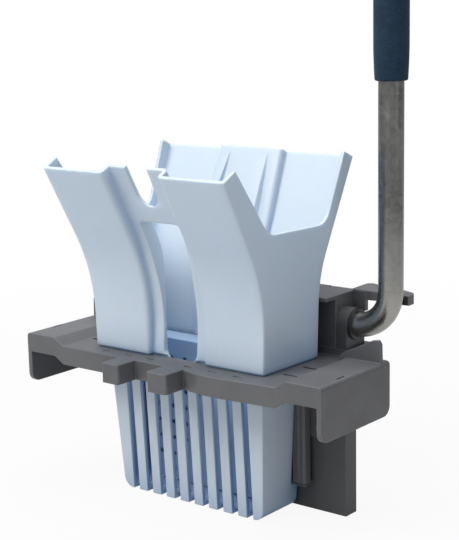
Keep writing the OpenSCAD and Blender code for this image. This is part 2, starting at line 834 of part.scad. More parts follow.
module pinion() {
    base = pitch_r * cos(flank);
    outer = pitch_r + tooth_module;
    root = pitch_r - 1.25 * tooth_module;
    half = 90 / pinion_teeth - thinning / 2 / pitch_r * 180 / PI + involute(pitch_r);
    step = 360 / pinion_teeth;
    radii = [for (k = [0:5]) base + (outer - base) * k / 5];
    linear_extrude(tooth_width) polygon([for (i = [0:pinion_teeth - 1]) each concat(
        [root * [cos(i * step - half), sin(i * step - half)]],
        [for (k = [0:5]) let (a = i * step - half + involute(radii[k])) radii[k] * [cos(a), sin(a)]],
        [for (k = [5:-1:0]) let (a = i * step + half - involute(radii[k])) radii[k] * [cos(a), sin(a)]],
        [root * [cos(i * step + half), sin(i * step + half)]])]);
}

module drive_pinion() {
    place() difference() {
        union() {
            translate([rack_x - tooth_width / 2, axis_y, axis_z]) rotate([0, 90, 0]) rotate([0, 0, 90])
                pinion();
            translate([rack_x - tooth_width / 2 - hub_long, axis_y, axis_z]) rotate([0, 90, 0]) {
                cylinder(h = hub_long + e, r = 11);
                cylinder(h = hub_long - 0.5, r = 13);
            }
        }
        translate([rack_x - 30, axis_y, axis_z]) rotate([0, 90, 0]) cylinder(h = 60, r = tube_r, $fn = 64);
        translate([hub_mid, axis_y, axis_z - 20]) cylinder(h = 40, r = screw_r, $fn = 24);
    }
}

module pinion_left() {
    color("goldenrod") mirror([1, 0, 0]) drive_pinion();
}

module pinion_right() {
    color("goldenrod") drive_pinion();
}

module pinion_pins() {
    color("silver") place() for (x = [-hub_mid, hub_mid]) translate([x, axis_y, axis_z - pin_length / 2])
        cylinder(h = pin_length, r = screw_r, $fn = 24);
}

module end_plug() {
    color("black") place() translate([lever_start, axis_y, axis_z]) rotate([0, 90, 0]) {
        translate([0, 0, -3]) cylinder(h = 3, r = tube_r);
        translate([0, 0, -e]) cylinder(h = 8, r = tube_r - tube_wall);
    }
}

washer_start = block_end + bush_flange + end_play;

module washer_ring(r) {
    rotate([0, 90, 0]) difference() {
        cylinder(h = washer_wall, r = r);
        translate([0, 0, -1]) cylinder(h = 4, r = tube_r);
    }
}

module thrust_washers() {
    color("black") place() translate([0, axis_y, axis_z]) mirror_x()
        translate([washer_start, 0, 0]) washer_ring(tube_r + 2.5);
}

module retaining_ring() {
    color("silver") place() translate([-washer_start - 2 * washer_wall, axis_y, axis_z]) difference() {
        washer_ring(tube_r + 2);
        block([-1, -2, -tube_r - 4], [3, 2, -tube_r + 2]);
    }
}

// Drive slide, racks and pins

rivet_levels = [18, 38];

module drive_slide() {
    color("gray") place() difference() {
        union() {
            block([-cheek_out, web_front, slide_low], [cheek_out, web_back, slide_high]);
            block([-rack_x - tab_half, web_front, slide_high - 14],
                [rack_x + tab_half, web_back, slide_high]);
            mirror_x() block([rack_x - tab_half, web_front, slide_high - 14],
                [rack_x + tab_half, web_back, rack_high]);
            mirror_x() block([cheek_in, cheek_front, slide_low], [cheek_out, web_back, slide_high]);
            // Foot that rests on the springs
            block([-42, spring_y - 9, foot_z], [42, web_front + e, foot_z + 2.5]);
            mirror_x() translate([spring_x, spring_y, foot_z - 3]) cylinder(h = 4, r = seat_r);
        }
        for (z = pin_levels) translate([-80, pin_y, z]) rotate([0, 90, 0]) cylinder(h = 160, r = pin_r);
        mirror_x() for (z = rivet_levels) translate([rack_x, web_front - 5, z]) rotate([-90, 0, 0])
            cylinder(h = 14, r = 1.5, $fn = 24);
        // Window in the web
        block([-18, web_front - 1, slide_low + 8], [18, web_back + 1, slide_high - 22]);
    }
}

module rack() {
    tip = pitch_y + tooth_module;
    root = pitch_y - 1.25 * tooth_module;
    half = pitch / 4 - thinning / 2;
    place() difference() {
        across(rack_x - tooth_width / 2, rack_x + tooth_width / 2) polygon(concat(
            [[web_back, rack_low], [root, rack_low]],
            [for (k = [-3:3]) let (z = axis_z + (k + 0.5) * pitch)
                if (z - 2 > rack_low && z + 2 < rack_high)
                each [[root, z - half - (pitch_y - root) * tan(flank)],
                [tip, z - half + (tip - pitch_y) * tan(flank)],
                [tip, z + half - (tip - pitch_y) * tan(flank)],
                [root, z + half + (pitch_y - root) * tan(flank)]]],
            [[root, rack_high], [web_back, rack_high]]));
        for (z = rivet_levels) translate([rack_x, web_front - 5, z]) rotate([-90, 0, 0])
            cylinder(h = 9.5, r = 1.5, $fn = 24);
    }
}

module rack_left() {
    color("goldenrod") mirror([1, 0, 0]) rack();
}

module rack_right() {
    color("goldenrod") rack();
}

module rack_rivets() {
    color("silver") place() mirror_x() for (z = rivet_levels)
        translate([rack_x, web_front, z]) rotate([-90, 0, 0]) {
        translate([0, 0, -0.8]) cylinder(h = 0.8, r = 2.6, $fn = 24);
        translate([0, 0, -e]) cylinder(h = 4.4, r = 1.5, $fn = 24);
    }
}

module drive_pins() {
    color("silver") place() for (z = pin_levels) translate([-cheek_out, pin_y, z]) rotate([0, 90, 0])
        cylinder(h = 2 * cheek_out, r = pin_r);
}

// Press plate

module press_outline() {
    low = -deck_height + 4.5;
    polygon([[-basket_half_low + 12, low], [basket_half_low - 12, low],
        [basket_half_low - 4.2, low + 9], [basket_half_top - 5, shelf_top],
        [-basket_half_top + 5, shelf_top], [-basket_half_low + 4.2, low + 9]]);
}

module press_plate() {
    color("lightsteelblue") place() difference() {
        union() {
            along(plate_front, plate_back) press_outline();
            block([-basket_half_top + 5.2, plate_front, shelf_top - plate_wall],
                [basket_half_top - 5.2, funnel_depth - inset_base - funnel_wall - 1, shelf_top]);
            // Ears that carry the slots
            mirror_x() block([ear_x - ear_half, plate_back - e, slide_low],
                [ear_x + ear_half, ear_back, slide_high]);
            // Stiffening ribs
            for (z = [-105, -50]) block([-spring_x - 6, plate_back - e, z],
                [spring_x + 6, plate_back + 4, z + 2.5]);
        }
        for (z = pin_levels) mirror_x() across(ear_x - ear_half - 1, ear_x + ear_half + 1)
            polygon(concat(
                [for (a = [45:15:225]) [pin_y + slot_r * cos(a), z + slot_r * sin(a)]],
                [for (a = [225:15:405]) [pin_y + travel + slot_r * cos(a), z - travel + slot_r * sin(a)]]));
        // Drain holes
        for (x = [-4:4], k = [0:7]) if (k < 7 || abs(x) < 4)
            translate([14 * x, plate_front - 1, -13 - 14 * k])
            rotate([-90, 0, 0]) cylinder(h = plate_wall + 2, r = 2, $fn = 24);
    }
}

// Springs

module spring_wire_coil(low, high) {
    r = spring_wire / 2;
    turns = spring_curls;
    n = 8 * turns;
    rise = (high - low - 2 * r) / n;
    points = [for (i = [0:n], k = [0:5]) let (a = i * 45, b = k * 60, q = spring_r + r * cos(b))
        [q * cos(a), q * sin(a), low + r + i * rise + r * sin(b)]];
    faces = concat([[5, 4, 3, 2, 1, 0]],
        [for (i = [0:n - 1], k = [0:5]) let (a = i * 6 + k, b = i * 6 + (k + 1) % 6)
            each [[a, b, b + 6], [a, b + 6, a + 6]]],
        [[for (k = [0:5]) n * 6 + k]]);
    polyhedron(points, faces, convexity = 6);
}

module return_spring() {
    place() translate([spring_x, spring_y, 0]) spring_wire_coil(box_low + floor_wall + 0.35, foot_z - 0.35);
}

module spring_left() {
    color("silver") mirror([1, 0, 0]) return_spring();
}

module spring_right() {
    color("silver") return_spring();
}

frame();
funnel_front();
funnel_back();
funnel_end_left();
funnel_end_right();
basket();
mechanism_box();
rail_left();
rail_right();
back_plate();
rear_cover();
housing();
bearing_block_left();
bearing_block_right();
bush_left();
bush_right();
lever_rest();
rest_buffer();
basket_screws();
box_screws();
plate_screws();
cover_screws();
housing_screws();
block_screws();
rest_screws();
lever_tube();
lever_grip();
pinion_left();
pinion_right();
pinion_pins();
end_plug();
thrust_washers();
retaining_ring();
drive_slide();
rack_left();
rack_right();
rack_rivets();
drive_pins();
press_plate();
spring_left();
spring_right();
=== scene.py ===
import json
import math
import bpy
import bmesh
from mathutils import Matrix, Vector


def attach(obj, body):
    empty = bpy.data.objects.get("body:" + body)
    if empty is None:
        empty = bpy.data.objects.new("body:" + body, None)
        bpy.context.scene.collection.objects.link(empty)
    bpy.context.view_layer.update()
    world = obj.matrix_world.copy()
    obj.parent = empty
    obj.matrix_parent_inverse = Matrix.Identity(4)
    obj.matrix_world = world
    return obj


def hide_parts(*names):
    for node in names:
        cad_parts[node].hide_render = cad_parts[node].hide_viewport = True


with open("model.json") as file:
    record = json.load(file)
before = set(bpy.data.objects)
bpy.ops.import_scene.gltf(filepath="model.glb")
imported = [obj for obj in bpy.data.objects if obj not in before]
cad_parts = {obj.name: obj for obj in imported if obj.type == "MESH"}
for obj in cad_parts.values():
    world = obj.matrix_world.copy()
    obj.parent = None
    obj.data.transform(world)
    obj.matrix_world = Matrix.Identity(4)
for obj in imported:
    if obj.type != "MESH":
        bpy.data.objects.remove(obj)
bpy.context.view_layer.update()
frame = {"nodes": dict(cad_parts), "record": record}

# Mop wringer. The CAD nodes keep their shapes and get procedural materials and
# softened edges. One smooth shell stands for the funnel's four walls, and a
# turned sleeve for the grip. Lengths are in metres, except in the funnel and
# grip sections, which work in millimetres.
MM = 0.001

nodes = frame["nodes"]
slots = {s["node"]: s["material_slot"] for s in frame["record"]["subparts"]}


def new_object(name, data):
    obj = bpy.data.objects.new(name, data)
    bpy.context.scene.collection.objects.link(obj)
    return obj


# ---------------------------------------------------------------- camera
# Fitted to the photograph by least squares on the part's own edges.
CAMERA_PLACE = (0.70966, -0.85282, 0.41226)
CAMERA_YAW_PITCH_ROLL = (38.62, 11.26, -1.17)
CAMERA_LENS = 93.5
CAMERA_CLIP_START = 0.02


def place_camera():
    yaw, pitch, roll = (math.radians(a) for a in CAMERA_YAW_PITCH_ROLL)
    forward = Vector((-math.sin(yaw) * math.cos(pitch),
        math.cos(yaw) * math.cos(pitch), -math.sin(pitch)))
    level_right = Vector((math.cos(yaw), math.sin(yaw), 0.0))
    level_up = level_right.cross(forward)
    right = math.cos(roll) * level_right + math.sin(roll) * level_up
    up = -math.sin(roll) * level_right + math.cos(roll) * level_up
    cam = bpy.data.cameras.new("camera")
    cam.lens = CAMERA_LENS
    cam.clip_start = CAMERA_CLIP_START
    obj = new_object("camera", cam)
    m = Matrix((right, up, -forward)).transposed().to_4x4()
    m.translation = Vector(CAMERA_PLACE)
    obj.matrix_world = m
    bpy.context.scene.camera = obj


place_camera()


# ---------------------------------------------------------------- nodes
def add(tree, kind, **values):
    """New shader node. A value goes to the input of its name, or to a setting."""
    n = tree.nodes.new(kind)
    for key, value in values.items():
        if key in n.inputs:
            n.inputs[key].default_value = value
        else:
            setattr(n, key, value)
    return n


def map_range(tree, lo, hi, a, b, **settings):
    values = {"From Min": lo, "From Max": hi, "To Min": a, "To Max": b}
    return add(tree, "ShaderNodeMapRange", **values, **settings)


# Cosines of the rounded normal's turn: where the pale edge starts, and where it is full.
# The pale edge is partly wear and partly a painted highlight.
PALE_EDGE_TURN = (0.985, 0.88)


class Graph:
    """A material's node tree, with short calls for what the materials share."""

    def __init__(self, name):
        self.mat = bpy.data.materials.new(name)
        self.mat.use_nodes = True
        self.tree = self.mat.node_tree
        self.bsdf = self.tree.nodes["Principled BSDF"]
        self.where = self.node("ShaderNodeTexCoord").outputs["Object"]

    def node(self, kind, **values):
        return add(self.tree, kind, **values)

    def link(self, a, b):
        self.tree.links.new(a, b)

    def paint(self, color):
        self.link(color, self.bsdf.inputs["Base Color"])

    def fixed(self, **values):
        """Constants on the shader's own sockets, with _ for a space."""
        for key, value in values.items():
            self.bsdf.inputs[key.replace("_", " ")].default_value = value

    def noise(self, scale, detail, rough=0.55, stretch=None):
        n = self.node("ShaderNodeTexNoise", Scale=scale, Detail=detail, Roughness=rough)
        where = self.where
        if stretch:
            m = self.node("ShaderNodeMapping", Scale=stretch)
            self.link(where, m.inputs["Vector"])
            where = m.outputs["Vector"]
        self.link(where, n.inputs["Vector"])
        return n.outputs["Fac"]

    def cells(self, scale):
        n = self.node("ShaderNodeTexVoronoi", Scale=scale)
        self.link(self.where, n.inputs["Vector"])
        return n

    def ramp(self, fac, stops):
        r = self.node("ShaderNodeValToRGB")
        while len(r.color_ramp.elements) < len(stops):
            r.color_ramp.elements.new(0.5)
        for e, (pos, col) in zip(r.color_ramp.elements, stops):
            e.position = pos
            e.color = (*col, 1.0)
        self.link(fac, r.inputs["Fac"])
        return r.outputs["Color"]

    def span(self, fac, lo, hi, a=0.0, b=1.0):
        m = map_range(self.tree, lo, hi, a, b)
        self.link(fac, m.inputs["Value"])
        return m.outputs["Result"]

    def mix(self, fac, a, b):
        """Colours a and b, each a tuple or an output, mixed by fac."""
        m = self.node("ShaderNodeMix", data_type="RGBA")
        self.link(fac, m.inputs[0])
        for sock, v in ((m.inputs[6], a), (m.inputs[7], b)):
            if isinstance(v, tuple):
                sock.default_value = (*v, 1.0)
            else:
                self.link(v, sock)
        return m.outputs[2]

    def edge_rounding(self, radius):
        """Rounded normal near sharp edges, and how far it turns from the face."""
        soft = self.node("ShaderNodeBevel", samples=4, Radius=radius)
        face = self.node("ShaderNodeNewGeometry")
        turn = self.node("ShaderNodeVectorMath", operation="DOT_PRODUCT")
        self.link(soft.outputs["Normal"], turn.inputs[0])
        self.link(face.outputs["Normal"], turn.inputs[1])
        return soft.outputs["Normal"], self.span(turn.outputs["Value"], *PALE_EDGE_TURN)

    def bump(self, heights, last=None):
        for fac, strength, distance in heights:
            b = self.node("ShaderNodeBump", Strength=strength, Distance=distance)
            self.link(fac, b.inputs["Height"])
            if last:
                self.link(last, b.inputs["Normal"])
            last = b.outputs["Normal"]
        self.link(last, self.bsdf.inputs["Normal"])


# ---------------------------------------------------------------- materials
EDGE_REACH = 1.5 * MM
FOLD_REACH = 60.0 * MM


def plastic(name, shades, rough, grain, spec, wear_and_highlight=0.0, milky=0.0, fold_shade=None):
    """Moulded plastic. shades are dark, usual and light; the edges are paled, partly as
    wear and partly as a painted highlight.

    milky lets some light into the wall, and the last colour given is then painted shade,
    mixed into folds and the inside where ambient occlusion finds them."""
    dark, color, light = shades
    g = Graph(name)
    col = g.ramp(g.noise(9.0, 4.0), [(0.3, dark), (0.5, color), (0.72, light)])
    scuff = g.span(g.noise(160.0, 6.0, 0.7, (1.0, 1.0, 0.25)), 0.63, 0.72)
    scuffed = tuple(min(1.0, c * 1.15 + 0.015) for c in color)
    col = g.mix(g.span(scuff, 0.0, 1.0, 0.0, 0.35), col, scuffed)
    # Pale edges: partly wear, partly a painted highlight on the rounded edges
    round_normal, edge = g.edge_rounding(EDGE_REACH)
    worn_and_lit = tuple(min(1.0, c * 1.7 + 0.06) for c in color)
    col = g.mix(g.span(edge, 0.0, 1.0, 0.0, wear_and_highlight), col, worn_and_lit)
    if milky:
        # Painted shade: folds and the inside, where ambient occlusion finds them, are
        # mixed towards a deeper blue; the subsurface weight lets some light into the wall
        sky = g.node("ShaderNodeAmbientOcclusion", samples=6, Distance=FOLD_REACH)
        col = g.mix(g.span(sky.outputs["AO"], 0.15, 0.6), fold_shade, col)
        g.fixed(Subsurface_Weight=milky, Subsurface_Radius=(0.45, 0.7, 1.0),
            Subsurface_Scale=8.0 * MM)
    g.paint(col)
    gloss = g.span(g.noise(38.0, 4.0), 0.3, 0.7, rough - 0.06, rough + 0.07)
    g.link(gloss, g.bsdf.inputs["Roughness"])
    g.fixed(Specular_IOR_Level=spec)
    fine, wavy = g.noise(2600.0, 2.0), g.noise(22.0, 2.0)
    g.bump([(fine, grain, 0.06 * MM), (wavy, 0.25, 0.6 * MM)], round_normal)
    return g.mat


def metal(name, shades, rough):
    """Plated or cut metal. shades are dark, usual and light."""
    dark, color, light = shades
    g = Graph(name)
    g.paint(g.ramp(g.noise(26.0, 5.0, 0.65), [(0.3, dark), (0.5, color), (0.7, light)]))
    g.fixed(Metallic=1.0)
    gloss = g.span(g.noise(90.0, 5.0, 0.6), 0.3, 0.7, rough - 0.08, rough + 0.1)
    g.link(gloss, g.bsdf.inputs["Roughness"])
    g.bump([(g.noise(700.0, 3.0, 0.6), 0.2, 0.08 * MM)])
    return g.mat


def galvanised(name):
    """Zinc coated tube: spangled grey with drawn streaks along its length."""
    dull = [(0.28, (0.09, 0.088, 0.085)), (0.5, (0.15, 0.147, 0.141)),
        (0.72, (0.28, 0.273, 0.26))]
    streak_grey, spangle_grey = (0.12, 0.118, 0.114), (0.5, 0.495, 0.48)
    bend_highlight = (0.54, 0.53, 0.5)
    bend_top, bend_low = 0.25, 0.165
    g = Graph(name)
    flake = g.node("ShaderNodeSeparateColor")
    g.link(g.cells(240.0).outputs["Color"], flake.inputs[0])
    streak = g.noise(420.0, 5.0, 0.7, (1.0, 1.0, 0.06))
    cloud = g.noise(34.0, 5.0, 0.7, (1.0, 1.0, 0.45))
    col = g.ramp(cloud, dull)
    col = g.mix(g.span(streak, 0.35, 0.75, 0.0, 0.6), col, streak_grey)
    col = g.mix(g.span(flake.outputs[0], 0.0, 1.0, 0.0, 0.13), col, spangle_grey)
    # Painted highlight: the colour turns lighter towards the bend, from bend_top down to
    # bend_low
    height = g.node("ShaderNodeSeparateXYZ")
    g.link(g.where, height.inputs["Vector"])
    g.paint(g.mix(g.span(height.outputs["Z"], bend_top, bend_low, 0.0, 0.5), col, bend_highlight))
    g.fixed(Metallic=1.0)
    g.link(g.span(cloud, 0.3, 0.7, 0.2, 0.42), g.bsdf.inputs["Roughness"])
    g.bump([(streak, 0.35, 0.12 * MM), (cloud, 0.3, 0.4 * MM),
        (flake.outputs[1], 0.12, 0.06 * MM)])
    return g.mat


def foam(name):
    """Navy foam sleeve with fine open pores."""
    shades = [(0.3, (0.006, 0.021, 0.043)), (0.5, (0.009, 0.032, 0.062)),
        (0.72, (0.015, 0.046, 0.084))]
    pore_color = (0.004, 0.012, 0.026)
    g = Graph(name)
    hole = g.span(g.cells(900.0).outputs["Distance"], 0.1, 0.55)
    g.paint(g.mix(hole, pore_color, g.ramp(g.noise(60.0, 4.0), shades)))
    g.fixed(Roughness=0.7, Specular_IOR_Level=0.22, Sheen_Weight=0.04)
    g.bump([(hole, 0.6, 0.3 * MM), (g.noise(1500.0, 4.0, 0.7), 0.5, 0.2 * MM)])
    return g.mat


# Each pale plastic's last colour is painted shade for its folds and inside
PALE = plastic("plastic_pale",
    ((0.547, 0.628, 0.712), (0.565, 0.645, 0.728), (0.583, 0.663, 0.744)),
    rough=0.4, grain=0.2, spec=0.45, milky=0.35, fold_shade=(0.34, 0.55, 0.84))
# A darker copy of the pale plastic for the basket, as painted shade
TUB_SHADED = plastic("plastic_pale_tub_shaded",
    ((0.527, 0.608, 0.696), (0.545, 0.625, 0.712), (0.563, 0.643, 0.728)),
    rough=0.4, grain=0.2, spec=0.45, milky=0.25, fold_shade=(0.17, 0.31, 0.56))
# A darker copy of the pale plastic for the press plate, as painted shade inside the
# funnel
PRESS_SHADED = plastic("plastic_pale_press_shaded",
    ((0.4, 0.52, 0.65), (0.42, 0.54, 0.67), (0.44, 0.56, 0.69)),
    rough=0.4, grain=0.2, spec=0.45, milky=0.35, fold_shade=(0.3, 0.48, 0.76))
DARK = plastic("plastic_dark",
    ((0.088, 0.089, 0.094), (0.112, 0.113, 0.12), (0.134, 0.135, 0.143)),
    rough=0.46, grain=0.35, spec=0.5, wear_and_highlight=0.65)
# A darker copy of the dark plastic, as painted shade for the pieces behind the funnel
DARK_SHADED = plastic("plastic_dark_shaded",
    ((0.064, 0.065, 0.068), (0.08, 0.081, 0.085), (0.096, 0.097, 0.102)),
    rough=0.5, grain=0.35, spec=0.4, wear_and_highlight=0.6)
BLACK = plastic("plastic_black",
    ((0.02, 0.02, 0.022), (0.03, 0.03, 0.033), (0.045, 0.045, 0.05)),
    rough=0.4, grain=0.2, spec=0.45)
RUBBER = plastic("rubber_black",
    ((0.015, 0.015, 0.015), (0.022, 0.022, 0.022), (0.035, 0.035, 0.035)),
    rough=0.75, grain=0.4, spec=0.3)
TUBE = galvanised("steel_galvanised")
STEEL = metal("steel_bright",
    ((0.48, 0.48, 0.47), (0.58, 0.58, 0.57), (0.68, 0.68, 0.66)), rough=0.3)
BRASS = metal("brass_drive",
    ((0.45, 0.33, 0.14), (0.58, 0.44, 0.20), (0.68, 0.54, 0.28)), rough=0.35)
FOAM = foam("grip_foam")

FINISH = {"plastic_pale": PALE, "plastic_dark": DARK, "plastic_black": BLACK,
    "rubber_black": RUBBER, "steel_galvanised": TUBE, "steel_bright": STEEL,
    "brass_drive": BRASS, "grip_foam": FOAM}
# Pieces given a darker copy of their plastic as painted shade: the basket under the deck,
# the press plate inside the funnel, and the dark pieces behind it
SHADED_COPIES = {"press_plate": PRESS_SHADED, "basket": TUB_SHADED, "back_plate": DARK_SHADED,
    "mechanism_box": DARK_SHADED, "rear_cover": DARK_SHADED,
    "bearing_block_left": DARK_SHADED, "bearing_block_right": DARK_SHADED}


def dress(obj, mat):
    if not obj.material_slots:
        obj.data.materials.append(mat)
    for s in obj.material_slots:
        s.link = "OBJECT"
        s.material = mat


for name, obj in nodes.items():
    dress(obj, SHADED_COPIES.get(name, FINISH[slots[name]]))


# ---------------------------------------------------------------- soft edges
# Width of the rounding in millimetres, on the mouldings whose edges show.
ROUNDED = {"frame": 0.9, "housing": 0.8, "lever_rest": 0.9,
    "bearing_block_left": 0.7, "bearing_block_right": 0.7, "back_plate": 0.7,
    "mechanism_box": 0.7, "rear_cover": 0.6, "basket": 1.3, "press_plate": 0.6,
    "rail_left": 0.5, "rail_right": 0.5, "rest_buffer": 0.6}
SHARP_EDGE = 38.0


def soften(obj, width):
    mod = obj.modifiers.new("soft_edges", "BEVEL")
    mod.width = width
    mod.segments = 2
    mod.limit_method = "ANGLE"
    mod.angle_limit = math.radians(SHARP_EDGE)
    mod.use_clamp_overlap = True
    mod.harden_normals = True


for name, width in ROUNDED.items():
    soften(nodes[name], width / 1000.0)


# ---------------------------------------------------------------- mesh tools
# Points here are in millimetres from the funnel's base front edge and the
# deck's top: across, back and up.
FRONT_EDGE = 35.0
DECK_TOP = 124.0
CORNER_STEPS = 6


def to_frame(p):
    return (p[0] / 1000.0, (p[1] - FRONT_EDGE) / 1000.0, (p[2] + DECK_TOP) / 1000.0)


def arc(cx, cy, r, a0, a1, n=5):
    turns = [math.radians(a0 + (a1 - a0) * i / n) for i in range(n + 1)]
    return [(cx + r * math.cos(a), cy + r * math.sin(a)) for a in turns]


def smooth(x):
    x = max(0.0, min(1.0, x))
    return x * x * (3.0 - 2.0 * x)


def corner(a, b, c, r):
    """Rounded corner at b, on the way from a to c, starting r before it."""
    a, b, c = Vector(a), Vector(b), Vector(c)
    p, q = b + (a - b).normalized() * r, b + (c - b).normalized() * r
    steps = [i / CORNER_STEPS for i in range(CORNER_STEPS + 1)]
    return [tuple((1 - t) ** 2 * p + 2 * t * (1 - t) * b + t * t * q) for t in steps]


def solid(name, rings):
    """Closed mesh through rings of points, with a flat face at each end."""
    mesh = bpy.data.meshes.new(name)
    n, last = len(rings[0]), len(rings) - 1
    verts = [to_frame(p) for r in rings for p in r]
    faces = [(i * n + j, i * n + (j + 1) % n, (i + 1) * n + (j + 1) % n, (i + 1) * n + j)
        for i in range(last) for j in range(n)]
    faces += [tuple(reversed(range(n))), tuple(range(last * n, len(rings) * n))]
    mesh.from_pydata(verts, [], faces)
    bm = bmesh.new()
    bm.from_mesh(mesh)
    bmesh.ops.recalc_face_normals(bm, faces=bm.faces)
    bm.to_mesh(mesh)
    bm.free()
    return new_object(name, mesh)


def prism(name, outline, axis, lo, hi):
    """Outline in (across, up), run along y, or in (back, up), run along x."""
    if axis == "y":
        rings = [[(u, v, w) for u, w in outline] for v in (lo, hi)]
    else:
        rings = [[(v, u, w) for u, w in outline] for v in (lo, hi)]
    return solid(name, rings)


def cut(obj, tools, operation="DIFFERENCE"):
    """Apply the tools to the mesh of a piece made here, and remove them."""
    for tool in tools:
        mod = obj.modifiers.new("cut", "BOOLEAN")
        mod.operation = operation
        mod.solver = "EXACT"
        mod.object = tool
    bpy.context.view_layer.update()
    deps = bpy.context.evaluated_depsgraph_get()
    mesh = bpy.data.meshes.new_from_object(obj.evaluated_get(deps))
    obj.modifiers.clear()
    obj.data = mesh
    for tool in tools:
        bpy.data.objects.remove(tool, do_unlink=True)


def shade_smooth(obj, sharp_angle):
    for p in obj.data.polygons:
        p.use_smooth = True
    obj.data.set_sharp_from_angle(angle=math.radians(sharp_angle))


# ---------------------------------------------------------------- funnel
# The main sizes are those of the four CAD walls that this piece stands for.
WALL = 3.0
BASE_HALF = 87.0
BASE_DEPTH = 70.0
# A wall's flare: the height where it starts, its radius and its last angle
FRONT = (28.0, 142.0, 28.5)
BACK = (46.0, 95.0, 24.3)
TOP_FRONT = 154.0
TOP_BACK = 157.0
# End walls lean out as they rise, and are further apart towards the back
END_LEAN = 2.1
END_TOE = 1.7
# Flanges that the notched end walls leave along the front and back walls
FRONT_FLANGE = 15.4
BACK_FLANGE = 13.6
NOTCH_FRONT = (4.5, 108.5)
NOTCH_BACK = (76.5, 107.5)
FOOT_HEIGHT = 1.4
FOOT_SET_BACK = 1.7
SLOT_TOP = 110.0
# The back wall's grooves taper off over this height, up to their top
GROOVE_TOP = 155.0
GROOVE_TAPER = 48.0
# How far the cutters reach past the walls and up
BEYOND = 60.0
ABOVE = 260.0
# End walls are cut from this place outwards
END_INSIDE = 82.6
WELD = 0.02 * MM
RIM_ROUND = 0.8 * MM
RIM_SHARP = 50.0


def lean(z, start, radius, angle):
    """How far a flared wall has moved outwards at height z."""
    a = math.radians(angle)
    end = start + radius * math.sin(a)
    if z <= start:
        return 0.0
    if z < end:
        return radius - math.sqrt(radius * radius - (z - start) ** 2)
    return radius * (1 - math.cos(a)) + (z - end) * math.tan(a)


def slope(z, start, radius, angle):
    """How far a flared wall has turned from upright at height z."""
    if z <= start:
        return 0.0
    return min(math.radians(angle), math.asin(min(1.0, (z - start) / radius)))


def front_y(z):
    return -lean(z, *FRONT)


def back_y(z):
    return BASE_DEPTH + lean(z, *BACK)


def half_width(z, y):
    """How far an end wall's outer face is from the middle."""
    return (BASE_HALF + z * math.tan(math.radians(END_LEAN))
        + y * math.tan(math.radians(END_TOE)))


def front_depth(z):
    """Depth of the front wall's inset middle."""
    return 5.5 + 1.5 * smooth(z / 30.0) + 3.6 * smooth((z - 70.0) / 40.0)


def back_depth(z):
    """Depth of the back wall's inset middle, which clears the press plate's shelf."""
    return 3.5 + 2.1 * smooth((z - 5.0) / 17.0) + 2.1 * smooth((z - 40.0) / 110.0)


def slot_half(z):
    return 17.3 + 0.4 * smooth(z / 60.0) + 3.0 * smooth((z - 50.0) / 70.0)


def wall_points(half, depth, middle, t, groove=None):
    """One wall in plan, left to right: (across, inwards), set in by t.

    middle is half the width of the inset; groove is (depth, width, place)."""
    # Radii of the step into the inset: at the wall's face and at the inset's floor
    if t > 0:
        lip, foot = 0.8, min(4.4, 0.45 * depth)
    else:
        lip, foot = min(4.0, 0.6 * depth), min(1.4, 0.3 * depth)
    edge = -middle - t
    floor = depth + t
    left = [(-half + 6.0 - t * 0.2, t), (-half * 0.7, t), (edge - lip - 2.0, t)]
    left += arc(edge - lip, t + lip, lip, 270.0, 360.0)
    left += arc(edge + foot, floor - foot, foot, 180.0, 90.0)
    if groove:
        g, w, x = groove
        left += [(x, floor), (x + 0.18 * w, floor - g), (x + 0.82 * w, floor - g),
            (x + w, floor), (-9.0, floor)]
    else:
        left += [(-21.0, floor)]
    right = [(-x, y) for x, y in reversed(left)]
    return left + [(0.0, floor)] + right


def ring(z, t):
    """The funnel's whole outline at height z, set in by t."""
    y0, y1 = front_y(z), back_y(z)
    # Front and back: half width, level thickness of the sloping wall, corner radius
    f, b = half_width(z, y0), half_width(z, y1)
    tf = t / math.cos(slope(z, *FRONT))
    tb = t / math.cos(slope(z, *BACK))
    rf, rb = (1.6, 1.8) if t == WALL else (2.0, 2.0)
    front_middle = 28.4 - 0.8 * min(1.0, z / TOP_FRONT)
    fade = max(0.0, min(1.0, (GROOVE_TOP - z) / GROOVE_TAPER))
    depth = back_depth(z)
    groove = (min(depth - 0.6, 5.5) * fade ** 0.7, 1.0 + 9.0 * fade, -20.0 - 8.3 * fade)
    steps = (0.25, 0.5, 0.75)
    pts = [(x, y0 + y) for x, y in wall_points(f, front_depth(z), front_middle, tf)]
    pts += arc(f - t - rf, y0 + tf + rf, rf, 300.0, 360.0, 4)
    pts += [(f - t + (b - f) * k, y0 + (y1 - y0) * k) for k in steps]
    pts += arc(b - t - rb, y1 - tb - rb, rb, 0.0, 60.0, 4)
    pts += [(-x, y1 - y) for x, y in wall_points(b, depth, 29.0 + 2.6 * fade, tb, groove)]
    pts += arc(-b + t + rb, y1 - tb - rb, rb, 120.0, 180.0, 4)
    pts += [(-b + t - (f - b) * k, y1 + (y0 - y1) * k) for k in steps]
    pts += arc(-f + t + rf, y0 + tf + rf, rf, 180.0, 240.0, 4)
    return [(x, y, z) for x, y in pts]


def slot_rib(side):
    """Flange along one edge of the front slot, deepest where the wall flares out."""
    edge = [(0.3, 10.2), (40.0, 10.2), (70.0, 10.2), (80.0, 10.0), (86.0, 9.2),
        (92.0, 7.6), (98.0, 5.4), (104.0, 2.4), (109.0, -0.4), (112.5, -2.8),
        (115.0, -7.0), (116.0, -12.0)]
    rings = []
    for z, y in edge:
        skin = front_y(z) + front_depth(z) + 1.2
        low, high = side * (slot_half(z) - 1.5), side * (slot_half(z) + 2.8)
        rings.append([(low, skin, z), (high, skin, z), (high, y, z), (low, y, z)])
    return solid("slot_rib", rings)


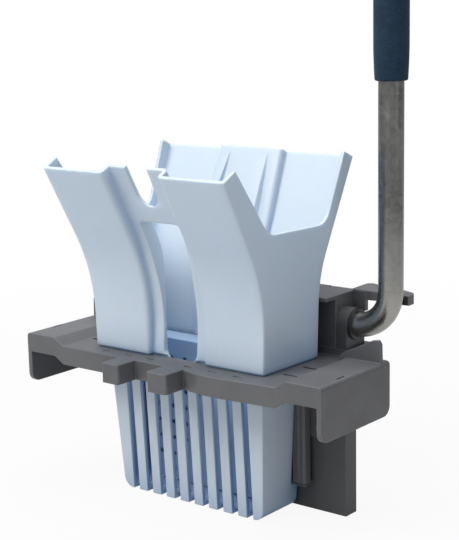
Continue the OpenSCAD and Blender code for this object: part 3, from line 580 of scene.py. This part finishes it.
def rim_cuts():
    """Cutters for the sloping front and back rims and the notched end walls."""
    front, back = (front_y(TOP_FRONT), TOP_FRONT), (back_y(TOP_BACK), TOP_BACK)

    def from_front(d):
        """Point d inwards from the front rim's edge, square to the wall."""
        a = math.radians(FRONT[2])
        return (front[0] + d * math.cos(a), front[1] + d * math.sin(a))

    def from_back(d):
        a = math.radians(BACK[2])
        return (back[0] - d * math.cos(a), back[1] + d * math.sin(a))

    lid = [(back[0] + BEYOND, ABOVE), (front[0] - BEYOND, ABOVE)]
    peak_f, peak_b = from_front(FRONT_FLANGE), from_back(BACK_FLANGE)
    end = [from_front(-40.0), peak_f]
    end += corner(peak_f, NOTCH_FRONT, NOTCH_BACK, 9.0)
    end += corner(NOTCH_FRONT, NOTCH_BACK, peak_b, 11.0)
    end += [peak_b, from_back(-BEYOND)] + lid
    middle = [from_front(-40.0), from_front(62.0), from_back(62.0), from_back(-BEYOND)]
    return [prism("end_cut_right", end, "x", END_INSIDE, 140.0),
        prism("end_cut_left", end, "x", -140.0, -END_INSIDE),
        prism("middle_cut", middle + lid, "x", -83.0, 83.0)]


def slot_cuts():
    """Cutters for the front slot and for the dip in the front rim above it."""
    levels = (6.0, 30.0, 50.0, 65.0, 80.0, 95.0, 105.0, SLOT_TOP)
    half = [(11.3, -3.0)] + arc(11.3, 6.0, 6.0, 270.0, 360.0, 8)[:-1]
    half += [(slot_half(z), z) for z in levels]
    half += arc(slot_half(SLOT_TOP) - 3.5, SLOT_TOP, 3.5, 0.0, 90.0, 6)[1:]
    outline = list(reversed(half)) + [(-u, w) for u, w in half]
    dip = [(-12.2, 200.0)] + arc(0.0, 137.5, 10.5, 180.0, 360.0, 16) + [(12.2, 200.0)]
    return [prism("slot_cut", outline, "y", -120.0, 30.0),
        prism("notch_cut", dip, "y", -160.0, 30.0)]


def round_edges(mesh):
    """Weld what the cuts left, then round the sharp edges."""
    bm = bmesh.new()
    bm.from_mesh(mesh)
    bmesh.ops.remove_doubles(bm, verts=bm.verts, dist=WELD)
    bmesh.ops.dissolve_degenerate(bm, edges=bm.edges, dist=WELD)
    sharp = [e for e in bm.edges
        if e.is_manifold and e.calc_face_angle(0.0) > math.radians(RIM_SHARP)]
    bmesh.ops.bevel(bm, geom=sharp, offset=RIM_ROUND, segments=2, profile=0.5,
        affect="EDGES", clamp_overlap=True)
    bm.to_mesh(mesh)
    bm.free()


def funnel():
    """All four walls as one shell, lofted through level outlines and then cut."""
    levels = [6.0, 10.0, 15.0, 21.0, 28.0] + [28.0 + 4.0 * i for i in range(1, 39)]
    # The foot is set back a little, which leaves a dark line above the deck
    foot = [ring(0.0, FOOT_SET_BACK), ring(FOOT_HEIGHT, FOOT_SET_BACK)]
    shell = solid("funnel", foot + [ring(z, 0.0) for z in [1.5] + levels])
    hollow = solid("funnel_inner", [ring(z, WALL) for z in [-6.0] + levels + [190.0]])
    cut(shell, [hollow])
    cut(shell, [slot_rib(-1.0), slot_rib(1.0)], "UNION")
    cut(shell, rim_cuts() + slot_cuts())
    round_edges(shell.data)
    shade_smooth(shell, 34.0)
    dress(shell, PALE)
    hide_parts("funnel_front", "funnel_back", "funnel_end_left", "funnel_end_right")
    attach(shell, "base")


funnel()

# ---------------------------------------------------------------- grip
# The upright tube's axis and the sleeve's two ends, as measured
GRIP_X, GRIP_Y = 139.0, 98.0
GRIP_LOW, GRIP_TOP = 219.0, 344.0
GRIP_R = 13.75
GRIP_SIDES = 72


def grip():
    """Foam sleeve, tapered to its lower end and rolled in at both ends."""
    low, top = GRIP_LOW, GRIP_TOP
    # Radius and height, from the tube at the lower end to the closed top
    profile = [(10.1, low + 1.2), (10.6, low + 0.3), (11.6, low), (12.4, low + 0.4),
        (12.8, low + 1.4)]
    profile += [(12.9 + 0.85 * math.sin(math.radians(90.0 * k / 8)),
        low + 2.6 + 27.0 * k / 8) for k in range(9)]
    profile += [(GRIP_R, low + 40.0 + 12.0 * k) for k in range(6)]
    profile += arc(GRIP_R - 5.0, top - 5.0, 5.0, 0.0, 90.0, 6)
    profile += [(5.0, top), (1.5, top - 0.2)]
    turns = [2 * math.pi * i / GRIP_SIDES for i in range(GRIP_SIDES)]
    rings = [[(GRIP_X + r * math.cos(a), GRIP_Y + r * math.sin(a), z) for a in turns]
        for r, z in profile]
    sleeve = solid("grip_sleeve", rings)
    shade_smooth(sleeve, 60.0)
    dress(sleeve, FOAM)
    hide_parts("lever_grip")
    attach(sleeve, "lever")


grip()

# ---------------------------------------------------------------- stage
WHITE = (1.0, 1.0, 1.0, 1.0)
FLOOR_GREY = (0.6, 0.6, 0.6, 1.0)
FLOOR_HALF = 60.0
FLOOR_DROP = 0.6 * MM
# The shadow shows near the object, and the floor fades to white further off
SHADOW_NEAR, SHADOW_FAR = 0.25, 1.1
FLOOR_GLOW_NEAR, FLOOR_GLOW_FAR = 0.92, 1.0
# Share of the white floor, and gain of the studio walls, that metal reflects
FLOOR_IN_METAL = 0.5
WALLS_IN_METAL = 0.7
# Studio walls: pale in front, to the left and above, dark to the right
WALL_TINT = (0.93, 0.96, 1.0, 1.0)
PALE_SIDE = (-0.5, -0.35, 0.79)
WALL_TURN = (-0.75, 0.65)
WALL_LEVEL = (0.06, 0.5)
LAMP_AIM = (0.0, 0.0, 0.2)


def make_floor():
    mesh = bpy.data.meshes.new("floor")
    bm = bmesh.new()
    bmesh.ops.create_grid(bm, x_segments=1, y_segments=1, size=FLOOR_HALF)
    bm.to_mesh(mesh)
    bm.free()
    floor = new_object("floor", mesh)
    floor.location = (0.0, 0.0, -FLOOR_DROP)
    g = Graph("floor")
    t, link = g.tree, g.link
    g.fixed(Base_Color=FLOOR_GREY, Roughness=0.9, Specular_IOR_Level=0.1)
    glow = add(t, "ShaderNodeEmission", Color=WHITE, Strength=1.0)
    path = add(t, "ShaderNodeLightPath")
    spot = add(t, "ShaderNodeNewGeometry")
    reach = add(t, "ShaderNodeVectorMath", operation="LENGTH")
    fade = map_range(t, SHADOW_NEAR, SHADOW_FAR, FLOOR_GLOW_NEAR, FLOOR_GLOW_FAR,
        interpolation_type="SMOOTHSTEP")
    seen = add(t, "ShaderNodeMath", operation="MULTIPLY")
    white = add(t, "ShaderNodeMath", operation="MULTIPLY_ADD")
    white.inputs[1].default_value = FLOOR_IN_METAL
    mix = add(t, "ShaderNodeMixShader")
    link(spot.outputs["Position"], reach.inputs[0])
    link(reach.outputs["Value"], fade.inputs["Value"])
    link(path.outputs["Is Camera Ray"], seen.inputs[0])
    link(fade.outputs["Result"], seen.inputs[1])
    link(path.outputs["Is Glossy Ray"], white.inputs[0])
    link(seen.outputs[0], white.inputs[2])
    link(white.outputs[0], mix.inputs[0])
    link(g.bsdf.outputs[0], mix.inputs[1])
    link(glow.outputs[0], mix.inputs[2])
    link(mix.outputs[0], t.nodes["Material Output"].inputs["Surface"])
    mesh.materials.append(g.mat)


def make_world():
    world = bpy.data.worlds.new("studio")
    bpy.context.scene.world = world
    world.use_nodes = True
    t = world.node_tree
    t.nodes.clear()
    link = t.links.new
    out = add(t, "ShaderNodeOutputWorld")
    walls = add(t, "ShaderNodeBackground", Color=WALL_TINT)
    white = add(t, "ShaderNodeBackground", Color=WHITE, Strength=1.0)
    path = add(t, "ShaderNodeLightPath")
    way = add(t, "ShaderNodeTexCoord")
    turn = add(t, "ShaderNodeVectorMath", operation="DOT_PRODUCT")
    turn.inputs[1].default_value = PALE_SIDE
    level = map_range(t, *WALL_TURN, *WALL_LEVEL, interpolation_type="SMOOTHSTEP")
    gain = add(t, "ShaderNodeMath", operation="MULTIPLY_ADD")
    gain.inputs[1].default_value = WALLS_IN_METAL
    gain.inputs[2].default_value = 1.0
    power = add(t, "ShaderNodeMath", operation="MULTIPLY")
    mix = add(t, "ShaderNodeMixShader")
    link(way.outputs["Generated"], turn.inputs[0])
    link(turn.outputs["Value"], level.inputs["Value"])
    link(path.outputs["Is Glossy Ray"], gain.inputs[0])
    link(level.outputs["Result"], power.inputs[0])
    link(gain.outputs[0], power.inputs[1])
    link(power.outputs[0], walls.inputs["Strength"])
    link(path.outputs["Is Camera Ray"], mix.inputs[0])
    link(walls.outputs[0], mix.inputs[1])
    link(white.outputs[0], mix.inputs[2])
    link(mix.outputs[0], out.inputs["Surface"])


def lamp(name, where, size, power, color=(1.0, 1.0, 1.0)):
    light = bpy.data.lights.new(name, "AREA")
    light.shape = "RECTANGLE"
    light.size, light.size_y = size
    light.energy = power
    light.color = color
    obj = new_object(name, light)
    obj.location = where
    aim = Vector(LAMP_AIM) - Vector(where)
    obj.rotation_euler = aim.to_track_quat("-Z", "Y").to_euler()


make_floor()
make_world()
lamp("key", (-0.45, -1.12, 1.6), (0.9, 0.9), 24.0, (1.0, 0.99, 0.975))
lamp("top", (0.1, 0.1, 1.6), (1.2, 1.0), 13.5)
lamp("side", (1.6, -0.1, 0.7), (0.5, 1.0), 1.3, (0.95, 0.98, 1.0))

bpy.context.scene.view_settings.view_transform = "Standard"
